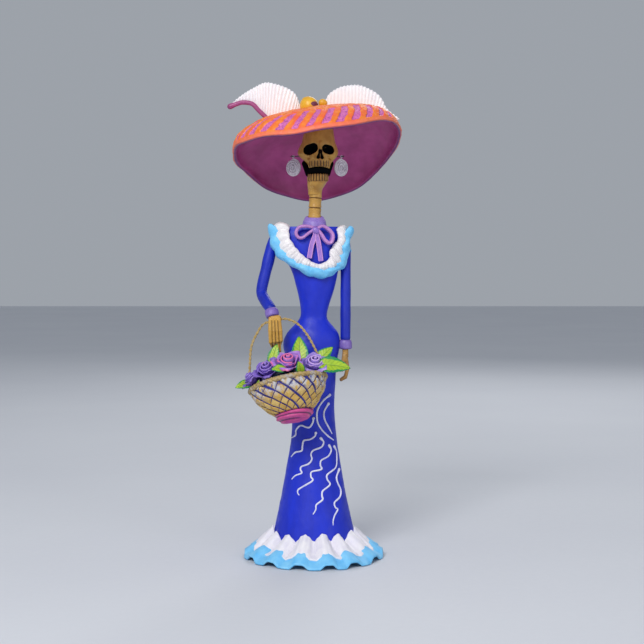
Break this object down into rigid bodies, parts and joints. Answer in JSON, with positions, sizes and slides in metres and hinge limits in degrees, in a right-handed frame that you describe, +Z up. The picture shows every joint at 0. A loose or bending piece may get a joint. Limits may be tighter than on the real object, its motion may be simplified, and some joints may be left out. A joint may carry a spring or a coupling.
{
  "type": "catrina figure",
  "caption": "Slender painted papier-mache skeleton lady in a flared blue dress, with a wide tilted hat, ruffled collar and hem, swinging earrings and a flower basket hung from one hand.",
  "frame": {"origin": "centre of the base plate's underside, on the spine wire's axis", "axes": "+Z up along the figure, the figure looks towards -Y, +X on the side of its free arm"},
  "size_m": [0.1438, 0.1475, 0.4019],
  "materials": {
    "base_board": "raw",
    "armature_wire": "satin",
    "dress_blue": "satin painted",
    "ruffle_light_blue": "matte painted",
    "ruffle_white": "matte painted",
    "cuff_violet": "matte painted",
    "band_lilac": "matte painted",
    "bow_pink": "satin painted",
    "bone_ochre": "satin painted",
    "hand_ochre": "matte painted",
    "earring_silver": "bright",
    "hat_paint": "satin painted",
    "plume_white": "matte painted",
    "quill_magenta": "satin painted",
    "ball_yellow": "satin painted",
    "basket_blue": "matte painted",
    "basket_straw": "matte painted",
    "handle_straw": "matte painted",
    "foot_pink": "satin painted",
    "filler_dark": "matte painted",
    "rose_violet": "satin painted",
    "rose_lilac": "satin painted",
    "rose_pink": "satin painted",
    "rose_orange": "satin painted",
    "leaf_green": "satin painted"
  },
  "bodies": {
    "figure": {"arm_wire": "armature_wire", "base_plate": "base_board", "bodice": "dress_blue", "bow_knot": "bow_pink", "bow_loop_left": "bow_pink", "bow_loop_right": "bow_pink", "bow_tail_left": "bow_pink", "bow_tail_right": "bow_pink", "collar_ruffle_blue": "ruffle_light_blue", "collar_ruffle_white": "ruffle_white", "crown_ball": "ball_yellow", "crown_bead": "ball_yellow", "cuff_left": "cuff_violet", "cuff_right": "cuff_violet", "ear_wire_left": "earring_silver", "ear_wire_right": "earring_silver", "hand_left": "hand_ochre", "hand_right": "hand_ochre", "hat_shell": "hat_paint", "hem_ruffle_blue": "ruffle_light_blue", "hem_ruffle_white": "ruffle_white", "jaw": "bone_ochre", "neck": "bone_ochre", "neck_band": "band_lilac", "plume_left": "plume_white", "plume_left_quill": "quill_magenta", "plume_right": "plume_white", "skirt_shell": "dress_blue", "skull": "bone_ochre", "sleeve_left": "dress_blue", "sleeve_right": "dress_blue", "spine_wire": "armature_wire"},
    "basket": {"basket_bowl": "basket_blue", "basket_filler": "filler_dark", "basket_foot": "foot_pink", "basket_handle": "handle_straw", "basket_rim_braid": "basket_straw", "basket_weave": "basket_straw", "leaf_back_left": "leaf_green", "leaf_back_middle": "leaf_green", "leaf_far_left": "leaf_green", "leaf_front_right": "leaf_green", "leaf_hand": "leaf_green", "leaf_low_left": "leaf_green", "leaf_low_middle": "leaf_green", "leaf_right": "leaf_green", "leaf_top": "leaf_green", "rose_back_left": "rose_violet", "rose_back_right": "rose_lilac", "rose_lilac": "rose_lilac", "rose_orange": "rose_orange", "rose_pink": "rose_pink", "rose_violet": "rose_violet"},
    "earring_left": {"earring_left": "earring_silver"},
    "earring_right": {"earring_right": "earring_silver"}
  },
  "joints": [
    {"name": "basket_swing", "type": "hinge", "parent": "figure", "child": "basket", "pos_m": [-0.03229, -0.02098, 0.19967], "axis": [-0.9753, 0, -0.2207], "range_deg": [0, 25]},
    {"name": "earring_left_swing", "type": "hinge", "parent": "figure", "child": "earring_left", "pos_m": [-0.0174, -0.001, 0.3366], "axis": [1, 0, 0], "range_deg": [-20, 20]},
    {"name": "earring_right_swing", "type": "hinge", "parent": "figure", "child": "earring_right", "pos_m": [0.023, -0.001, 0.3366], "axis": [1, 0, 0], "range_deg": [-20, 20]}
  ]
}
